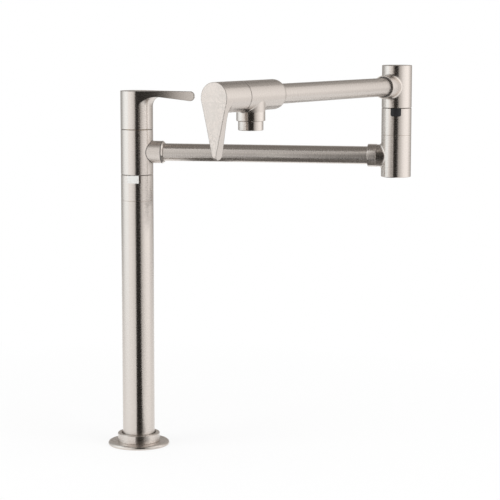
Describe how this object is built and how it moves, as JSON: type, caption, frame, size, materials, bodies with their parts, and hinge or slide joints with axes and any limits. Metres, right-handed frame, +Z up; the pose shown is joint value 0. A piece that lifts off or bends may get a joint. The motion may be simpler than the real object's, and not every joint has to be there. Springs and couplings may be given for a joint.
{
  "type": "deck mount pot filler",
  "caption": "Tall deck-mounted pot filler tap: round post, folding swivel arm on a raised elbow, downward spout and lever valves at post and outlet.",
  "frame": {"origin": "on the post's axis, level with the deck's top face and the underside of the flange", "axes": "+Z up the post; +X along the lower arm at rest; -Y is the front, where the upper arm comes back to"},
  "size_m": [0.3585, 0.3857, 0.5284],
  "materials": {
    "brushed_nickel": "brushed nickel",
    "pale_plastic": "moulded",
    "raw_brass": "machined",
    "plain_steel": "plain",
    "black_rubber": "matt",
    "black_plastic": "moulded",
    "grey_plastic": "moulded",
    "ceramic": "lapped"
  },
  "bodies": {
    "post": {"deck_flange": "brushed_nickel", "flange_seal": "black_rubber", "base_collar": "brushed_nickel", "threaded_shank": "raw_brass", "shank_rubber_washer": "black_rubber", "shank_steel_washer": "plain_steel", "shank_nut": "raw_brass", "post_foot": "raw_brass", "riser_tube": "plain_steel", "post_tube": "brushed_nickel", "stop_sleeve": "brushed_nickel", "post_stop_key": "pale_plastic", "valve_core": "raw_brass", "core_seals": "black_rubber", "post_glide_ring": "black_plastic", "post_retainer_nut": "raw_brass", "post_seat_washer": "black_rubber", "post_fixed_disc": "ceramic", "post_cartridge": "raw_brass", "post_gland_nut": "raw_brass"},
    "lower_arm": {"swivel_housing": "brushed_nickel", "lower_arm_end_ring": "brushed_nickel", "lower_arm_tube": "brushed_nickel", "lower_arm_collar": "brushed_nickel", "elbow_lower_housing": "brushed_nickel", "elbow_bottom_cap": "brushed_nickel", "elbow_ring": "brushed_nickel", "elbow_stop_key": "black_plastic", "elbow_glide_ring": "black_plastic"},
    "upper_arm": {"elbow_upper_housing": "brushed_nickel", "elbow_spigot": "raw_brass", "spigot_seals": "black_rubber", "spigot_circlip": "plain_steel", "upper_arm_collar": "brushed_nickel", "upper_arm_tube": "brushed_nickel", "outlet_body": "brushed_nickel", "aerator_housing": "brushed_nickel", "aerator_seal": "black_rubber", "aerator_insert": "grey_plastic", "outlet_seat_washer": "black_rubber", "outlet_fixed_disc": "ceramic", "outlet_cartridge": "raw_brass", "outlet_gland_nut": "raw_brass"},
    "post_lever": {"post_handle": "brushed_nickel", "post_stem": "raw_brass", "post_moving_disc": "ceramic", "post_grub_screw": "plain_steel"},
    "outlet_lever": {"outlet_handle": "brushed_nickel", "outlet_stem": "raw_brass", "outlet_moving_disc": "ceramic", "outlet_grub_screw": "plain_steel"}
  },
  "joints": [
    {"name": "post_swivel", "type": "hinge", "parent": "post", "child": "lower_arm", "pos_m": [0, 0, 0.3504], "axis": [0, 0, 1], "range_deg": [-90, 90]},
    {"name": "elbow_swivel", "type": "hinge", "parent": "lower_arm", "child": "upper_arm", "pos_m": [0.305, 0, 0.4294], "axis": [0, 0, 1], "range_deg": [-38, 262]},
    {"name": "post_valve_turn", "type": "hinge", "parent": "post", "child": "post_lever", "pos_m": [0, 0, 0.4], "axis": [0, 0, 1], "range_deg": [0, 90]},
    {"name": "outlet_valve_turn", "type": "hinge", "parent": "upper_arm", "child": "outlet_lever", "pos_m": [0.19074, -0.28279, 0.4294], "axis": [-0.3746, -0.9272, 0], "range_deg": [0, 90]}
  ]
}
